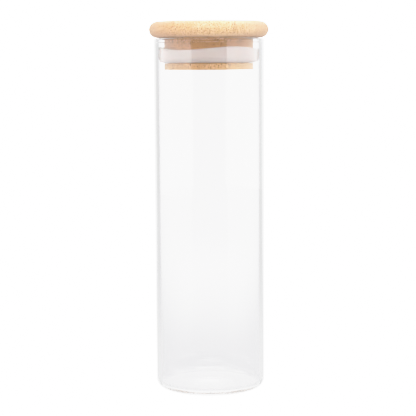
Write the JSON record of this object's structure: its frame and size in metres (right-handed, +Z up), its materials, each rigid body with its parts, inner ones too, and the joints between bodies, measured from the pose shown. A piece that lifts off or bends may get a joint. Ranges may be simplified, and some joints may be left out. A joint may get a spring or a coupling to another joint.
{
  "type": "specimen jar",
  "caption": "Tall straight cylindrical glass jar with a flat foot and a rounded rim, closed by a round bamboo stopper lid whose plug carries a soft seal ring.",
  "frame": {"origin": "centre of the foot, on the surface that the jar stands on", "axes": "+Z up the jar's axis to the lid; +Y along the lid's bamboo strips, which are turned 6 degrees clockwise seen from above"},
  "size_m": [0.0708, 0.0708, 0.2189],
  "materials": {
    "glass": "clear polished borosilicate",
    "silicone": "translucent satin silicone",
    "bamboo": "fine-sanded, oiled, side-pressed bamboo"
  },
  "bodies": {
    "jar": {"glass_jar": "glass"},
    "seal": {"seal_ring": "silicone"},
    "lid": {"head_strip_01": "bamboo", "head_strip_02": "bamboo", "head_strip_03": "bamboo", "head_strip_04": "bamboo", "head_strip_05": "bamboo", "head_strip_06": "bamboo", "head_strip_07": "bamboo", "head_strip_08": "bamboo", "head_strip_09": "bamboo", "head_strip_10": "bamboo", "head_strip_11": "bamboo", "plug_strip_01": "bamboo", "plug_strip_02": "bamboo", "plug_strip_03": "bamboo", "plug_strip_04": "bamboo", "plug_strip_05": "bamboo", "plug_strip_06": "bamboo", "plug_strip_07": "bamboo", "plug_strip_08": "bamboo"}
  },
  "joints": [
    {"name": "lid_lift", "type": "slide", "parent": "jar", "child": "seal", "axis": [0, 0, 1], "range_m": [0, 0.1]},
    {"name": "lid_twist", "type": "hinge", "parent": "seal", "child": "lid", "pos_m": [0, 0, 0.2], "axis": [0, 0, 1], "continuous": true}
  ]
}
